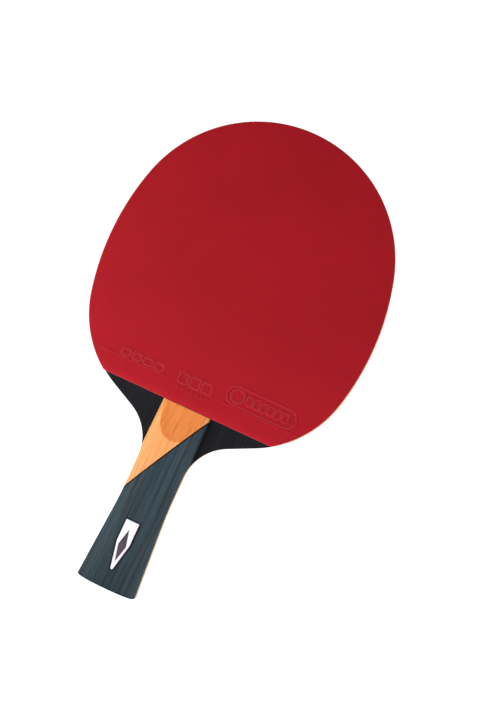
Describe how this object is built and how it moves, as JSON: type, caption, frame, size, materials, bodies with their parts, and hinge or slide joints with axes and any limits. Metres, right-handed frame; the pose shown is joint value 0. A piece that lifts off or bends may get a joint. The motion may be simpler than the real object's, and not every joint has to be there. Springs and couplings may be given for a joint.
{
  "type": "table tennis paddle",
  "caption": "Table tennis paddle with a laminated wooden blade, a sponge-backed rubber on each face and a flared handle with a diagonal inlay.",
  "frame": {"origin": "centre of the handle's flat butt, halfway through the blade's thickness", "axes": "+Z along the handle to the tip of the head, -Y out of the red front rubber, +X to the right as the front is seen"},
  "size_m": [0.15, 0.0236, 0.258],
  "materials": {
    "core_wood": "bare sanded edge",
    "inner_wood": "bare sanded edge",
    "black_wood": "dyed, satin",
    "dry_glue": "clear rubbery film",
    "sponge": "matt, open pored",
    "red_rubber": "satin",
    "black_rubber": "satin",
    "teal_wood": "dyed, satin lacquer",
    "orange_wood": "satin lacquer",
    "badge_dark": "gloss",
    "badge_pale": "gloss",
    "badge_grey": "gloss"
  },
  "bodies": {
    "root": {"core_veneer": "core_wood", "front_inner_veneer": "inner_wood", "back_inner_veneer": "inner_wood", "front_outer_veneer": "black_wood", "back_outer_veneer": "black_wood", "front_glue_film": "dry_glue", "back_glue_film": "dry_glue", "front_sponge": "sponge", "back_sponge": "sponge", "front_top_sheet": "red_rubber", "back_top_sheet": "black_rubber", "front_handle_body": "teal_wood", "front_handle_stripe": "black_wood", "front_handle_wedge": "orange_wood", "back_handle_body": "teal_wood", "back_handle_stripe": "black_wood", "back_handle_wedge": "orange_wood", "badge_plate": "badge_dark", "badge_inlay": "badge_pale", "badge_lozenge": "badge_grey"}
  },
  "joints": []
}
